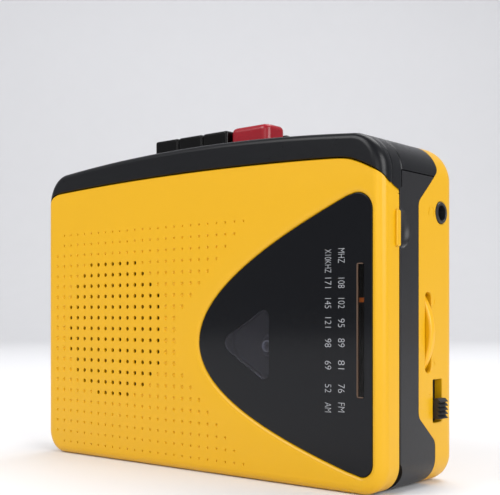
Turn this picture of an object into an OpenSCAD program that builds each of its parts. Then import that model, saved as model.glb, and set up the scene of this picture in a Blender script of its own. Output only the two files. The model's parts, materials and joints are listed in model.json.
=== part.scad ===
// Pocket radio cassette recorder with a speaker in its hinged front door.
// Millimetres. X across the front, Y from the front to the back, Z up. The origin is in the
// middle of the underside. Depths are counted back from the front face.

/* [Case] */
// Width of the case
body_w = 117.4; // [112:0.2:122]
// Height of the case at the middle of its crowned top
body_h = 83.9; // [82.4:0.5:87.9]
// Depth of the case, front to back
body_d = 33; // [32:0.5:36]
// Thickness of the moulded walls
wall = 2; // [1.6:0.1:2.4]
// Radius of the two upper corners
top_corner_r = 9; // [7.5:0.5:13]
// Radius of the two lower corners
bottom_corner_r = 6.5; // [5:0.5:8]
// Radius of the gentle crown along the top edge
crown_r = 540; // [400:10:900]

/* [Door] */
// Height of the front door at its middle
door_h = 77.2; // [76:0.1:78]
// Depth of the door, front to back
door_depth = 7; // [6.6:0.1:7.1]
// Thickness of the door's front wall
door_front = 2.4; // [2:0.1:2.6]
// Gap between the door and its surround
door_gap = 0.3; // [0.2:0.05:0.4]
// Height and depth of the hinge axis above and behind the lower front edge
hinge_in = 3.2; // [3:0.1:3.6]

/* [Grille] */
// Distance between the dots of the grille
dot_pitch = 3; // [2.9:0.05:3.1]
// Diameter of a hole right through the grille
hole_d = 1.3; // [1:0.1:1.5]
// Radius of the round field of open holes
hole_field_r = 20.1; // [17:0.1:21]

/* [Keys] */
// Travel of a key
key_travel = 4.5; // [3.5:0.1:4.6]
// Height of the tops of the black keys above the underside
key_top = 89.3; // [88:0.1:89.7]
// Depth of the front of the keys
key_front = 10.5; // [10.4:0.1:10.8]
// Depth of the back of the keys
key_back = 18.4; // [18:0.1:18.6]

/* [Tape drive] */
// Distance between the two reel hubs of a cassette
reel_spacing = 42.5; // [42.4:0.1:42.6]
// X of the take-up reel, on the left
take_up_x = -24.3; // [-24.6:0.1:-24]
// Height of the reel axes
reel_z = 32.5; // [32:0.1:33]
// Radius of the flywheel
flywheel_r = 15; // [14:0.1:15.2]

/* [Controls] */
// Radius of the tuning wheel
tuning_r = 16; // [15.8:0.1:16.2]
// Radius of the volume wheel
volume_r = 7.8; // [7.5:0.1:7.9]
// Travel of the function switch
switch_travel = 3.6; // [3:0.1:4]

/* [Hidden] */
$fn = 48;
front = -body_d / 2;
half_w = body_w / 2;
reach = 100;                                   // longer than the case in any direction

// Case
seam_z = 73.2;                                 // underside of the top cover on the sides
frame_front = door_depth + door_gap;           // front of the frame behind the door
bezel_back = 8;
bezel_low = 65;
rear_inside = body_d - wall;
// Meeting line of frame and rear cover, seen from the side, as depth and height
split_line = [[23, -1], [23, 10.4], [15.3, 16.7], [15.3, 66.7], [24.6, 74.9], [24.6, reach]];
screws = [[-50, 68], [-50, 21.4], [31, 68], [31, 21.4]];
boss_r = 2.4;
boss_back = 26;

// Cassette well
well_left = -54.3;
well_right = 48.1;
well_high = 67.4;
well_wall = 1.2;
deck_front = 16.9;
deck_back = 18.1;
head_gate = [[-38, 49], [26, reach]];          // the deck is open here for the thick side of a cassette
spindle_hole_r = 4.6;

// Door
door_corner_front = 4;                         // the upper corners open out towards the back
door_corner_back = 9;
door_slope = [[50, 75.95], [half_w, 71.75]];     // cuts off the upper right corner at the front
door_crown_r = 1070;
panel_t = 1.2;
panel_tip = [3.06, 33.5];
panel_open = 21.4;                             // parabola of the panel's edge: rise = sqrt(panel_open * run)
panel_lean = 0.058;
panel_right = 55.7;
panel_top_corner = [panel_right - 4.2, 63.8, 4.2];   // centre and radius
panel_bottom_corner = [panel_right - 3.1, 7.1, 3.1];
lens_corners = [[14.4, 33.4, 2.5], [24.5, 40, 1.7], [24.5, 26.4, 1.7]];
dial_low = [51.5, 21.8];
dial_high = [53.4, 52.1];
dot_origin = [-29.55, 39.6];
speaker_x = -29.1;
speaker_z = 36.9;
speaker_r = 20;
grille_t = 1.2;                                // wall in front of the speaker
liner_front = 5.8;
ear_x = [52.4, 54.6];                          // the frame's hinge ears
hinge_pin_end = 56.7;
ear_r = 1.9;
hinge_pin_r = 1;
fit = 0.05;                                    // radial clearance of a running fit

// Tape drive
plate_front = 19.5;
plate_back = 20.5;
plate_box = [[-45.5, 18], [27.4, 73]];
supply_x = take_up_x + reel_spacing;
shaft_r = 1.2;
wheel_front = 20.8;                            // plane of the reel discs and the idler
wheel_back = 22.8;
reel_disc_r = 8;
capstan_x = -31;
capstan_z = 59.8;
capstan_r = 1;
hub_r = 6;
flywheel_front = 24;
flywheel_back = 28;
belt_depth = 27.2;
motor_x = 6;
motor_z = 56;
motor_r = 11;
pulley_r = 2.8;
groove_r = flywheel_r - 1;
wheel_gap = 0.15;
train = [take_up_x - capstan_x, reel_z - capstan_z];
train_length = norm(train);
idler_r = (train_length - hub_r - reel_disc_r) / 2 - wheel_gap;
idler_at = [capstan_x, capstan_z] + train / train_length * (hub_r + wheel_gap + idler_r);

// Keys and heads
head_x = take_up_x + reel_spacing / 2;         // middle of a cassette
key_gap = 0.2;
key_left = -23.4;
key_w = 8.9;
record_x = 4.6;
record_w = 13;
key_underside = 82;
rail_low = 75.2;
rail_high = 76.2;
rail_x = [-25, 19.5];
blade_depth = [11.2, 13.2];
blade_low = 74.6;
blade_w = 2.4;
spring_depth = 15.9;
tab_high = 74.5;
carriage_front = 18.6;
carriage_back = 19.4;
head_low = 67.7;
roller_r = 5.5;
roller_z = capstan_z + capstan_r + roller_r + 0.15 + key_travel;

// Controls
tuning_x = 44.1;
tuning_z = 36.3;
tuning_slot_half = 9.5;
tuning_front = 18.8;
tuning_back = 21;
pinion_r = 9.2;                                // pitch radius
pinion_teeth = 23;
tooth = 0.7;                                   // height of a tooth above the pitch line
pointer_z = 43.8;
rack_z = [26.6, 58];
volume_x = 44.3;
volume_z = 74.4;
volume_front = 16.9;
volume_back = 19.2;
jack_depth = 26;
jack_z = 64.9;
jack_bore_r = 1.8;
knob_z = [15.7, 20.6];
switch_slot = [[22, 14.9], [26.4, knob_z[1] + switch_travel + 0.9]];   // depth and height
microphone_at = [25.4, 63];                    // depth and height
board_front = 28.8;
board_back = 30;

// Batteries
cell_r = 7;
cell_length = 50.5;
cell_left = -53.5;
cell_depth = 24;
cell_z = 9.4;
hatch = [[-52, 4], [46, 18.4]];
hatch_pivot = [32, 5.2];
hatch_pin_r = 0.7;

// ---- Helpers ----

// A flat outline, x across and z up, thickened from depth a back to depth b
module slab(a, b) translate([0, front + b, 0]) rotate([90, 0, 0]) linear_extrude(b - a) children();

// A side outline, depth across and z up, carried from x = a to x = b
module across(a, b) translate([a, front, 0]) rotate([90, 0, 90]) linear_extrude(b - a) children();

// A box between two corners given as x, depth and z
module block(low, high) translate([low.x, front + low.y, low.z]) cube(high - low);

// A round bar along the depth
module bar_y(x, z, r, a, b) translate([x, front + b, z]) rotate([90, 0, 0]) cylinder(r = r, h = b - a);

// A round bar along X
module bar_x(depth, z, r, a, b)
    translate([a, front + depth, z]) rotate([0, 90, 0]) cylinder(r = r, h = b - a);

// A coil spring standing on z = a and reaching z = b
module coil(x, depth, r, wire, a, b, turns) {
    sides = 6;
    rings = 12 * turns;
    rise = b - a - 2 * wire;
    points = [
        for (i = [0 : rings], k = [0 : sides - 1])
            let (turn = 360 * turns * i / rings, around = 360 * k / sides, out = r + wire * cos(around))
                [out * cos(turn), out * sin(turn), wire + rise * i / rings + wire * sin(around)]
    ];
    skin = [
        for (i = [0 : rings - 1], k = [0 : sides - 1])
            let (next = (k + 1) % sides)
                [i * sides + k, (i + 1) * sides + k, (i + 1) * sides + next, i * sides + next]
    ];
    first = [for (k = [0 : sides - 1]) k];
    last = [for (k = [0 : sides - 1]) rings * sides + sides - 1 - k];
    translate([x, front + depth, a]) polyhedron(points = points, faces = concat(skin, [first, last]));
}

// A rectangle between two corners with rounded corners
module round_rect(low, high, r) {
    translate([low.x + r, low.y]) square([high.x - low.x - 2 * r, high.y - low.y]);
    translate([low.x, low.y + r]) square([high.x - low.x, high.y - low.y - 2 * r]);
    for (x = [low.x + r, high.x - r], y = [low.y + r, high.y - r]) translate([x, y]) circle(r);
}

// A face with round lower corners, round upper corners and a crowned top
module crowned_face(half, bottom, top, r_top, r_bottom, r_crown) {
    corner_x = half - r_top;
    corner_z = top - r_crown + sqrt(pow(r_crown - r_top, 2) - corner_x * corner_x);
    tangent_x = corner_x * r_crown / (r_crown - r_top);
    intersection() {
        translate([-tangent_x, corner_z]) square([2 * tangent_x, top]);
        translate([0, top - r_crown]) circle(r_crown, $fn = 1440);
    }
    translate([-half, bottom + r_bottom]) square([2 * half, corner_z - bottom - r_bottom]);
    translate([r_bottom - half, bottom]) square([2 * (half - r_bottom), r_bottom + 1]);
    for (side = [-1, 1]) {
        translate([side * corner_x, corner_z]) circle(r_top);
        translate([side * (half - r_bottom), bottom + r_bottom]) circle(r_bottom);
    }
}

// The case's front view, moved in on every side
module case_face(inset = 0)
    crowned_face(half_w - inset, inset, body_h - inset, top_corner_r - inset,
                 bottom_corner_r - inset, crown_r - inset);

// The door's front view, moved in on every side
module door_face(inset = 0, corner_r = door_corner_back)
    crowned_face(half_w - inset, inset, door_h - inset, corner_r - inset,
                 bottom_corner_r - inset, door_crown_r - inset);

// Everything below the line that cuts off the door's upper right corner
module under_door_slope() {
    fall = (door_slope[0].y - door_slope[1].y) / (door_slope[1].x - door_slope[0].x);
    reach_x = half_w + 2;
    polygon([
        [-reach_x, -2],
        [reach_x, -2],
        [reach_x, door_slope[1].y - fall * (reach_x - half_w)],
        [-reach_x, door_slope[1].y + fall * (reach_x + half_w)]
    ]);
}

// The door's opening with upper corners of a given radius, moved out on every side by a gap
module door_opening(gap, corner_r) {
    intersection() {
        door_face(-gap, corner_r);
        offset(delta = gap) under_door_slope();
    }
}

// The room of the door within the case
module door_room(gap = 0) hull() {
    slab(-0.02, -0.01) door_opening(gap, door_corner_front);
    slab(bezel_back, bezel_back + 0.01) door_opening(gap, door_corner_back);
}

// The case wall between two depths
module case_ring(a, b) {
    slab(a, b) difference() {
        case_face();
        case_face(wall);
    }
}

// Everything in front of, or behind, the line where frame and rear cover meet
module ahead_of_split(low, high) {
    intersection() {
        across(-half_w - 1, half_w + 1) polygon(concat([[-1, reach], [-1, -1]], split_line));
        block([-half_w - 1, -1, low], [half_w + 1, body_d, high]);
    }
}
module behind_split()
    across(-half_w - 1, half_w + 1) polygon(concat([[reach, reach], [reach, -1]], split_line));

// The panel's outline: a parabola lying on its side, closed by a straight right edge
function panel_edge(x, side) =
    [x, panel_tip.y + panel_lean * (x - panel_tip.x) + side * sqrt(panel_open * (x - panel_tip.x))];
function arc(centre, from, to, steps) =
    [for (i = [0 : steps]) let (a = from + (to - from) * i / steps)
        [centre.x + centre.z * cos(a), centre.y + centre.z * sin(a)]];
module panel_face() {
    steps = 14;
    run = panel_top_corner.x - panel_tip.x - 3;
    polygon(concat(
        [for (i = [steps : -1 : 1]) panel_edge(panel_tip.x + run * pow(i / steps, 2), -1)],
        [for (i = [0 : steps]) panel_edge(panel_tip.x + run * pow(i / steps, 2), 1)],
        arc(panel_top_corner, 100, 0, 8),
        arc(panel_bottom_corner, 0, -90, 8)
    ));
}

// The clear corner of the panel that shows a reel
module lens_face() {
    hull() for (c = lens_corners) translate([c.x, c.y]) circle(c.z, $fn = 24);
}

module dial_face() round_rect(dial_low, dial_high, 0.9);

// ---- Case ----

module middle_frame() {
    color("#3a3a3c") {
        difference() {
            union() {
                intersection() {
                    case_ring(frame_front, split_line[4].x);
                    ahead_of_split(-1, seam_z);
                }
                // deck behind the cassette
                slab(deck_front, deck_back) difference() {
                    intersection() {
                        case_face(wall);
                        translate([-half_w, 0]) square([half_w + well_right + well_wall, seam_z]);
                    }
                    translate(head_gate[0]) square(head_gate[1] - head_gate[0]);
                    translate([volume_x - volume_r - 1, well_high - 1.2]) square(reach);
                    for (x = [take_up_x, supply_x]) translate([x, reel_z]) circle(spindle_hole_r);
                }
                // side walls of the cassette well
                block([well_left - well_wall, frame_front, wall], [well_left, deck_back, well_high]);
                block([well_right, frame_front, wall], [well_right + well_wall, deck_back, well_high - 2]);
                for (s = screws) bar_y(s.x, s.y, boss_r, deck_front, boss_back);
            }
            // room for the lower edge of the door as it swings
            bar_x(hinge_in, hinge_in, 5.5, -half_w - 1, half_w + 1);
            // bezel sides
            block([-half_w - 1, 0, bezel_low], [half_w + 1, bezel_back, reach]);
            // battery compartment
            block([cell_left - 3.2, cell_depth - cell_r - 0.3, wall], [well_right + 1.3, body_d, wall + 15]);
            // finger scoop beside the door's lip
            bar_x(frame_front, 59.9, 4.5, half_w - 1.5, half_w + 1);
            // room for the tuning wheel's toothed ring
            bar_y(tuning_x, tuning_z, pinion_r + 1.6, deck_front - 0.1, tuning_front);
            for (s = screws) bar_y(s.x, s.y, 0.95, deck_back + 0.6, body_d);
        }
        // battery compartment front wall
        block([cell_left - 2.6, cell_depth - cell_r - 1, wall],
              [well_right + 1.2, cell_depth - cell_r - 0.3, wall + 15]);
        // hinge ears
        for (side = [-1, 1]) hinge_ear(side);
    }
}

module hinge_ear(side) {
    low = side > 0 ? ear_x[0] : -ear_x[1];
    high = side > 0 ? ear_x[1] : -ear_x[0];
    difference() {
        union() {
            bar_x(hinge_in, hinge_in, ear_r, low, high);
            block([low, hinge_in, hinge_in - ear_r + 0.6], [high, frame_front + 2, hinge_in + ear_r]);
        }
        bar_x(hinge_in, hinge_in, hinge_pin_r, low - 1, high + 1);
    }
}

module top_bezel() {
    color("#1c1c1c") intersection() {
        difference() {
            slab(0, bezel_back) case_face();
            door_room(door_gap);
            slab(wall, reach) case_face(wall);
        }
        block([-half_w - 1, -1, bezel_low], [half_w + 1, bezel_back, reach]);
    }
}

module top_cover() {
    color("#1c1c1c") {
        difference() {
            intersection() {
                case_ring(bezel_back, split_line[4].x);
                ahead_of_split(seam_z, reach);
            }
            // key bay
            block([key_left - 0.3, key_front - 0.3, seam_z],
                  [record_x + record_w + 0.3, key_back + 0.3, reach]);
            // volume wheel slot
            block([volume_x - volume_r - 0.6, volume_front - 0.5, seam_z], [51.6, volume_back + 0.5, reach]);
        }
        // guard rib behind the keys
        block([key_left, key_back + 0.7, body_h - 1.2], [record_x + record_w + 0.4, key_back + 2.2, 87.7]);
    }
}

module rear_cover() {
    color("#eeb62d") {
        difference() {
            union() {
                difference() {
                    intersection() {
                        slab(frame_front, body_d) case_face();
                        behind_split();
                    }
                    slab(0, rear_inside) case_face(wall);
                }
                for (s = screws) bar_y(s.x, s.y, boss_r + 0.6, boss_back, rear_inside);
            }
            // tuning wheel, function switch and headphone jack, all on the right side
            block([half_w - wall - 1, 18.4, tuning_z - tuning_slot_half],
                  [half_w + 1, 21.4, tuning_z + tuning_slot_half]);
            bar_y(tuning_x, tuning_z, tuning_r + 0.4, 18.4, 21.4);
            block([half_w - wall - 1, switch_slot[0].x, switch_slot[0].y],
                  [half_w + 1, switch_slot[1].x, switch_slot[1].y]);
            bar_x(jack_depth, jack_z, 2.7, half_w - wall - 1, half_w + 1);
            // battery hatch
            block([hatch[0].x, rear_inside - 1, hatch[0].y], [hatch[1].x, body_d + 1, hatch[1].y]);
            for (x = [hatch[0].x - 1.5, hatch[1].x - 0.5])
                bar_x(hatch_pivot.x, hatch_pivot.y, hatch_pin_r, x, x + 2);
            // microphone port on the left shoulder
            bar_x(microphone_at.x, microphone_at.y, 0.6, -half_w - 1, wall - half_w + 1);
            for (s = screws) {
                bar_y(s.x, s.y, 1.3, boss_back - 1, body_d);
                bar_y(s.x, s.y, 2.6, body_d - 1.4, body_d + 1);
            }
        }
    }
}

module battery_hatch() {
    gap = 0.25;
    color("#eeb62d") difference() {
        across(hatch[0].x + gap, hatch[1].x - gap) {
            translate(hatch_pivot) circle(body_d - hatch_pivot.x);
            translate([hatch_pivot.x - 0.9, hatch_pivot.y])
                square([body_d - hatch_pivot.x + 0.9, hatch[1].y - gap - hatch_pivot.y]);
        }
        for (x = [hatch[0].x - 1, hatch[1].x - 2.1])
            bar_x(hatch_pivot.x, hatch_pivot.y, hatch_pin_r + fit, x, x + 3.1);
    }
}

module hatch_pins() {
    color("silver") {
        bar_x(hatch_pivot.x, hatch_pivot.y, hatch_pin_r, hatch[0].x - 1.5, hatch[0].x + 1.5);
        bar_x(hatch_pivot.x, hatch_pivot.y, hatch_pin_r, hatch[1].x - 1.5, hatch[1].x + 1.5);
    }
}

module case_screws() {
    color("silver") for (s = screws) {
        bar_y(s.x, s.y, 0.9, deck_back + 1, body_d - 1.4);
        difference() {
            bar_y(s.x, s.y, 2.3, body_d - 1.4, body_d - 0.3);
            block([s.x - 1.5, body_d - 0.7, s.y - 0.25], [s.x + 1.5, body_d, s.y + 0.25]);
            block([s.x - 0.25, body_d - 0.7, s.y - 1.5], [s.x + 0.25, body_d, s.y + 1.5]);
        }
    }
}

// ---- Door ----

// Side view of the door, its lower front edge rounded about the hinge
module door_side() {
    translate([hinge_in, hinge_in]) circle(hinge_in);
    translate([0, hinge_in]) square([door_depth, reach]);
    translate([hinge_in, 0]) square([door_depth - hinge_in, hinge_in + 1]);
}

module door_shell() {
    color("#eeb62d") {
        difference() {
            intersection() {
                door_room();
                across(-half_w - 1, half_w + 1) door_side();
            }
            difference() {
                slab(door_front, reach) door_face(wall);
                // rim that carries the liner's screws and holds the speaker
                bar_y(speaker_x, speaker_z, speaker_r + 1.8, door_front - 1, liner_front);
            }
            bar_y(speaker_x, speaker_z, speaker_r + 0.3, grille_t, reach);
            slab(-1, panel_t) panel_face();
            slab(-1, reach) offset(delta = 1.2) lens_face();
            slab(-1, reach) round_rect(dial_low - [1, 1], dial_high + [1, 1], 1);
            for (a = [-7 : 7], b = [-6 : 8]) {
                at = dot_origin + dot_pitch * [a, -b];
                if (norm(at - [speaker_x, speaker_z]) <= hole_field_r)
                    bar_y(at.x, at.y, hole_d / 2, -1, door_front + 1);
            }
            // hinge: blind holes for the pins and room for the frame's ears
            bar_x(hinge_in, hinge_in, hinge_pin_r + fit, -hinge_pin_end - 0.1, hinge_pin_end + 0.1);
            for (side = [-1, 1]) {
                low = side > 0 ? ear_x[0] - 0.4 : -ear_x[1] - 0.4;
                high = side > 0 ? ear_x[1] + 0.4 : -ear_x[0] + 0.4;
                bar_x(hinge_in, hinge_in, ear_r + 0.4, low, high);
                block([low, hinge_in, -1], [high, reach, hinge_in + ear_r + 0.4]);
            }
        }
        // finger lip on the right edge
        block([half_w, 5, 55.8], [half_w + 0.6, door_depth - 0.3, 64]);
    }
}

module window_panel() {
    color("#1d1e20") slab(0, panel_t) difference() {
        panel_face();
        lens_face();
        dial_face();
    }
}

module cassette_lens() color("#8a8f93", 0.5) slab(0, panel_t) lens_face();

module dial_lens() color("#8a8f93", 0.5) slab(0, panel_t) dial_face();

module door_liner() {
    color("#202022") slab(liner_front, door_depth) difference() {
        intersection() {
            door_face(wall + 0.1);
            translate([-half_w, 8]) square([body_w, 64]);
        }
        offset(delta = 2) lens_face();
        round_rect(dial_low - [1.6, 2], dial_high + [1.6, 2], 1);
    }
}

module hinge_pins() {
    color("silver") {
        bar_x(hinge_in, hinge_in, hinge_pin_r, ear_x[0], hinge_pin_end);
        bar_x(hinge_in, hinge_in, hinge_pin_r, -hinge_pin_end, -ear_x[0]);
    }
}

// ---- Speaker ----

module speaker_frame() {
    color("#9a9a9a") difference() {
        union() {
            bar_y(speaker_x, speaker_z, speaker_r, 2.5, 3.3);
            bar_y(speaker_x, speaker_z, speaker_r - 2, 3.3, 4.2);
        }
        bar_y(speaker_x, speaker_z, speaker_r - 2, 2, 3.3);
        bar_y(speaker_x, speaker_z, 8, 3, 5);
    }
}

module speaker_cloth() color("#1a1a1a") bar_y(speaker_x, speaker_z, speaker_r, grille_t, grille_t + 0.3);

module speaker_cone() {
    rim = speaker_r - 2.2;
    dome = 4.5;
    color("#2b2b2b") translate([speaker_x, front + 2.6, speaker_z]) rotate([-90, 0, 0])
        rotate_extrude() polygon([[0, 0.1], [dome, 0.35], [rim, 0], [rim, 0.25], [dome, 0.6], [0, 0.35]]);
}

module speaker_magnet() color("#77797c") bar_y(speaker_x, speaker_z, 7.8, 3.35, 5.7);

// ---- Tape drive ----

module mech_plate() {
    color("#a9adb1") slab(plate_front, plate_back) difference() {
        translate(plate_box[0]) square(plate_box[1] - plate_box[0]);
        for (x = [take_up_x, supply_x]) translate([x, reel_z]) circle(shaft_r + fit);
        translate([capstan_x, capstan_z]) circle(2.5);
        translate(idler_at) circle(0.8 + fit);
    }
}

// Reel spindle: ribbed hub in the cassette, shaft through the plate, driven disc behind it
module reel_spindle(x) {
    hub = 3.1;
    color("#d8d8d2") {
        bar_y(x, reel_z, hub, 10.4, 16.4);
        bar_y(x, reel_z, hub / 2, 9.4, 10.4);
        for (turn = [0, 120, 240]) translate([x, 0, reel_z]) rotate([0, turn, 0])
            block([hub - 0.2, 11.2, -0.6], [hub + 1.2, 15.6, 0.6]);
        bar_y(x, reel_z, shaft_r, 16.4, wheel_front);
        bar_y(x, reel_z, reel_disc_r, wheel_front, wheel_back);
    }
}
module take_up_spindle() reel_spindle(take_up_x);
module supply_spindle() reel_spindle(supply_x);

module capstan() color("silver") bar_y(capstan_x, capstan_z, capstan_r, 8.6, flywheel_back);

module capstan_bush() {
    color("#b99a4b") difference() {
        union() {
            bar_y(capstan_x, capstan_z, 2.5, plate_front, plate_back);
            bar_y(capstan_x, capstan_z, 2, 17.1, plate_front);
        }
        bar_y(capstan_x, capstan_z, capstan_r + fit, 10, flywheel_back);
    }
}

module flywheel() {
    color("#b5b8bb") difference() {
        union() {
            bar_y(capstan_x, capstan_z, flywheel_r, flywheel_front, flywheel_back);
            bar_y(capstan_x, capstan_z, hub_r, wheel_front, flywheel_front);
        }
        bar_y(capstan_x, capstan_z, capstan_r, 10, body_d);
        slab(belt_depth - 0.6, belt_depth + 0.6) translate([capstan_x, capstan_z]) difference() {
            circle(flywheel_r + 1);
            circle(groove_r);
        }
    }
}

module motor() {
    color("#8f9498") difference() {
        bar_y(motor_x, motor_z, motor_r, plate_back, 25.8);
        bar_y(motor_x, motor_z, 0.8 + fit, plate_back + 1, body_d);
    }
}

module motor_pulley() {
    color("#b99a4b") {
        bar_y(motor_x, motor_z, 0.8, 22, 26.1);
        bar_y(motor_x, motor_z, pulley_r + 0.8, 26.1, belt_depth - 0.6);
        bar_y(motor_x, motor_z, pulley_r, belt_depth - 0.6, belt_depth + 0.6);
        bar_y(motor_x, motor_z, pulley_r + 0.8, belt_depth + 0.6, 28.2);
    }
}

// The square belt lies a hair off both grooves
module belt_loop(extra) hull() {
    translate([capstan_x, capstan_z]) circle(groove_r + extra);
    translate([motor_x, motor_z]) circle(pulley_r + extra);
}
module drive_belt() {
    color("#1a1a1a") slab(belt_depth - 0.45, belt_depth + 0.45) difference() {
        belt_loop(0.95);
        belt_loop(0.1);
    }
}

module idler_wheel() {
    color("#2c2c2c") {
        bar_y(idler_at.x, idler_at.y, idler_r, wheel_front, wheel_back);
        bar_y(idler_at.x, idler_at.y, 0.8, plate_front - 0.3, wheel_front);
    }
}

// ---- Keys ----

// Each key's left side, width, and the middle of its blade
function black_key_x(i) = key_left + i * (key_w + key_gap);
keys = [
    [black_key_x(0), key_w, black_key_x(0) + key_w / 2],
    [black_key_x(1), key_w, black_key_x(1) + 2.9],
    [black_key_x(2), key_w, black_key_x(2) + key_w / 2],
    [record_x, record_w, record_x + 3.2]
];

module key_rail() {
    color("#a9adb1") {
        difference() {
            block([rail_x[0], key_front - 0.3, rail_low], [rail_x[1], key_back + 0.3, rail_high]);
            for (k = keys)
                block([k[2] - blade_w / 2 - 0.3, blade_depth[0] - 0.3, seam_z],
                      [k[2] + blade_w / 2 + 0.3, blade_depth[1] + 0.3, reach]);
        }
        // legs up to the underside of the top cover
        for (x = [rail_x[0] - 1, rail_x[1]])
            block([x, key_front - 0.3, rail_low], [x + 1, key_back + 0.3, 80.7]);
    }
}

module key(k, top) {
    translate([0, 0, key_underside]) linear_extrude(top - key_underside)
        round_rect([k[0], front + key_front], [k[0] + k[1], front + key_back], 1.2);
    block([k[2] - blade_w / 2, blade_depth[0], blade_low],
          [k[2] + blade_w / 2, blade_depth[1], key_underside]);
}
module stop_key() color("#161614") key(keys[0], key_top);
module fast_forward_key() color("#161614") key(keys[1], key_top);
module play_key() color("#161614") key(keys[2], key_top);
module record_key() color("#962632") key(keys[3], key_top + 0.3);

module key_spring(k) {
    color("silver") coil(k[0] + k[1] / 2, spring_depth, 1.5, 0.15, rail_high, key_underside, 5);
}
module stop_key_spring() key_spring(keys[0]);
module fast_forward_key_spring() key_spring(keys[1]);
module play_key_spring() key_spring(keys[2]);
module record_key_spring() key_spring(keys[3]);

// ---- Heads ----

module head_carriage() {
    color("#b5b8bb") {
        // plate, its left arm kept clear of the capstan
        block([-20, carriage_front, 67], [18, carriage_back, 72.6]);
        block([-38, carriage_front, 69.5], [-20, carriage_back, 72.6]);
        // bent tab under the play key
        block([-5, carriage_front, 72.6], [4.4, carriage_back, tab_high]);
        block([-5, blade_depth[0], tab_high - 0.9], [4.4, carriage_front, tab_high]);
        // shelf behind each head
        for (x = [head_x, 13.5])
            block([x - 3, 17, head_low + 1], [x + 3, carriage_front, head_low + 4]);
    }
}

module tape_head(x, w, a, b) {
    color("#c6c9cc") {
        block([x - w / 2, a, head_low + 1.5], [x + w / 2, b, head_low + 5.6]);
        block([x - w / 2 + 1.5, a, head_low], [x + w / 2 - 1.5, b, head_low + 1.5]);
    }
}
module record_play_head() tape_head(head_x, 12.6, 8, 17);
module erase_head() tape_head(13.5, 6.4, 9, 17);

module pinch_arm() {
    color("#a9adb1") {
        for (a = [7.9, 17.1])
            block([capstan_x - 2, a, roller_z - 2], [capstan_x + 2, a + 0.6, roller_z + 6]);
        block([capstan_x - 2, 7.9, roller_z + 6], [capstan_x + 2, 17.7, roller_z + 6.6]);
        block([capstan_x - 2, 17.7, roller_z - 1], [capstan_x + 2, carriage_front, roller_z + 1.4]);
        bar_y(capstan_x, roller_z, 0.8, 8.5, 17.1);
    }
}

module pinch_roller() {
    color("#1e1e1e") difference() {
        bar_y(capstan_x, roller_z, roller_r, 8.9, 16.7);
        bar_y(capstan_x, roller_z, 0.8 + fit, 8, 18);
    }
}

// ---- Controls ----

module tuning_wheel() {
    ribs = 60;
    color("#e9b12c") {
        difference() {
            bar_y(tuning_x, tuning_z, tuning_r, tuning_front, tuning_back);
            for (i = [0 : ribs - 1]) translate([tuning_x, 0, tuning_z]) rotate([0, 360 * i / ribs, 0])
                block([tuning_r - 0.3, tuning_front - 1, -0.3], [tuning_r + 1, tuning_back + 1, 0.3]);
        }
        bar_y(tuning_x, tuning_z, 1.5, tuning_back, tuning_back + 3);
        // toothed ring that drives the pointer
        slab(tuning_front - 1.6, tuning_front) translate([tuning_x, tuning_z]) {
            circle(pinion_r - 0.9);
            for (i = [0 : pinion_teeth - 1]) rotate(360 * (i + 0.5) / pinion_teeth)
                polygon([[pinion_r - 1.1, -0.55], [pinion_r + tooth, -0.2],
                         [pinion_r + tooth, 0.2], [pinion_r - 1.1, 0.55]]);
        }
    }
}

module tuning_pointer() {
    pitch = 2 * PI * pinion_r / pinion_teeth;
    rack_x = tuning_x + pinion_r;
    first = ceil((rack_z[0] + 0.6 - tuning_z) / pitch);
    last = floor((rack_z[1] - 0.6 - tuning_z) / pitch);
    color("#e8791f") {
        slab(tuning_front - 1.6, tuning_front) {
            translate([rack_x + 0.9, rack_z[0]]) square([1.6, rack_z[1] - rack_z[0]]);
            for (i = [first : last]) translate([rack_x, tuning_z + i * pitch])
                polygon([[1.1, -0.5], [-tooth, -0.2], [-tooth, 0.2], [1.1, 0.5]]);
        }
        // finger that reaches forward through the door to a tick right behind the dial
        block([rack_x + 0.9, 7.6, pointer_z - 0.6], [rack_x + 2.1, tuning_front - 1.6, pointer_z + 0.6]);
        block([dial_low.x + 0.4, 7.6, pointer_z - 0.5], [rack_x + 0.9, 8.4, pointer_z + 0.5]);
        block([dial_low.x + 0.4, 1.5, pointer_z - 0.5], [dial_high.x - 0.4, 7.6, pointer_z + 0.5]);
        block([dial_low.x - 0.7, 1.5, pointer_z - 0.5], [dial_high.x, 2.2, pointer_z + 0.5]);
    }
}

module tuning_capacitor() {
    color("#3f6e8c") difference() {
        block([tuning_x - 9, 21.6, tuning_z - 9], [tuning_x + 9, board_front, tuning_z + 9]);
        bar_y(tuning_x, tuning_z, 1.5 + fit, 21, tuning_back + 3.4);
    }
}

module volume_wheel() {
    ribs = 36;
    color("#1b1b1b") {
        difference() {
            bar_y(volume_x, volume_z, volume_r, volume_front, volume_back);
            for (i = [0 : ribs - 1]) translate([volume_x, 0, volume_z]) rotate([0, 360 * i / ribs, 0])
                block([volume_r - 0.25, volume_front - 1, -0.25], [volume_r + 1, volume_back + 1, 0.25]);
        }
        bar_y(volume_x, volume_z, 1.5, volume_back, volume_back + 2);
    }
}

module volume_control() {
    color("#2f6b46") difference() {
        block([volume_x - 5, volume_back + 0.4, volume_z - 4.5], [volume_x + 5, 24.4, volume_z + 3.5]);
        bar_y(volume_x, volume_z, 1.5 + fit, volume_back, volume_back + 2.4);
    }
}

module function_switch() {
    color("#8d9296") difference() {
        block([50.4, switch_slot[0].x - 0.2, 13.6], [half_w - wall - 0.2, board_front, 26]);
        block([half_w - wall - 3, switch_slot[0].x + 0.5, 14.8], [half_w, switch_slot[1].x - 0.5, 25.2]);
    }
}

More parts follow.
